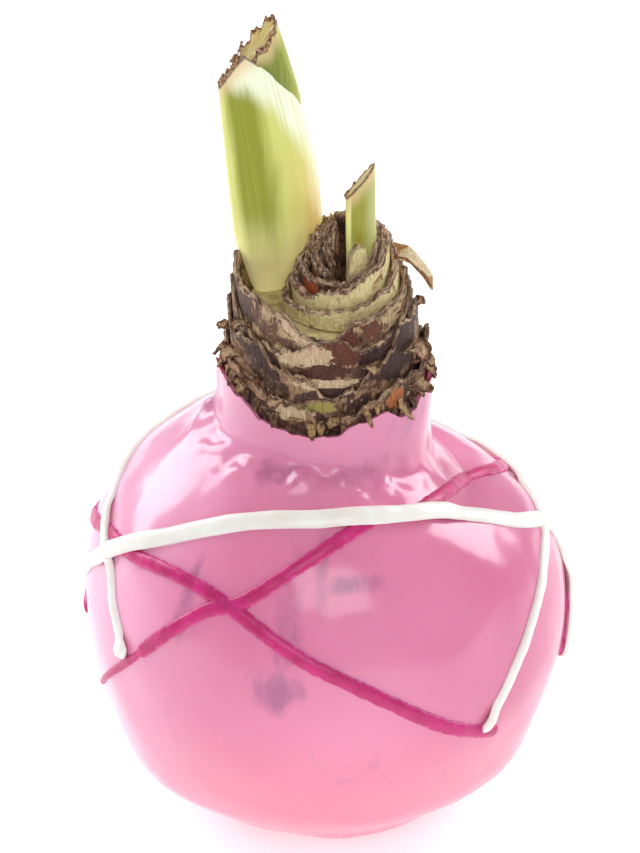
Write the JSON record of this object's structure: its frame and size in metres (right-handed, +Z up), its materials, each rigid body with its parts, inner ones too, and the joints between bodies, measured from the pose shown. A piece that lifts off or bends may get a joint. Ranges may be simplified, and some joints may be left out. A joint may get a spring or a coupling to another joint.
{
  "type": "amaryllis bulb",
  "caption": "Waxed amaryllis flower bulb standing on a flat wax foot, with poured wax trails, a bare papery neck and two cut green shoots.",
  "frame": {"origin": "middle of the flat foot that the bulb stands on", "axes": "+Z up along the bulb's axis, -Y towards the side with the crossed trails, +X to the right as that side is seen"},
  "size_m": [0.0943, 0.0911, 0.1566],
  "materials": {
    "bulb_flesh": "fleshy bulb scales under a dry brown skin",
    "pink_wax": "glossy translucent pink wax with violet-grey clouds",
    "magenta_wax": "magenta wax poured in thin rough-edged trails",
    "white_wax": "smooth white wax poured in thin trails",
    "leaf_base": "cream fleshy leaf base with a corrugated dry brown cut edge",
    "dry_tunic": "dry papery tunic, fibrous, purple-brown with cream and rust patches",
    "green_shoot": "smooth green leaf, cream at its base, dry brown at its cut"
  },
  "bodies": {
    "root": {"bulb": "bulb_flesh", "wax_coat": "pink_wax", "wax_trails_magenta": "magenta_wax", "wax_trails_white": "white_wax", "leaf_base_outer": "leaf_base", "leaf_base_cup_1": "leaf_base", "leaf_base_cup_2": "leaf_base", "leaf_base_cup_3": "leaf_base", "leaf_base_torn_1": "leaf_base", "leaf_base_torn_2": "leaf_base", "leaf_flap_front": "leaf_base", "tunic_upper": "dry_tunic", "tunic_middle": "dry_tunic", "tunic_low_left": "dry_tunic", "tunic_low_right": "dry_tunic", "tall_shoot_sheath": "green_shoot", "tall_shoot_inner_leaf": "green_shoot", "short_shoot": "green_shoot", "dry_flake": "dry_tunic"}
  },
  "joints": []
}
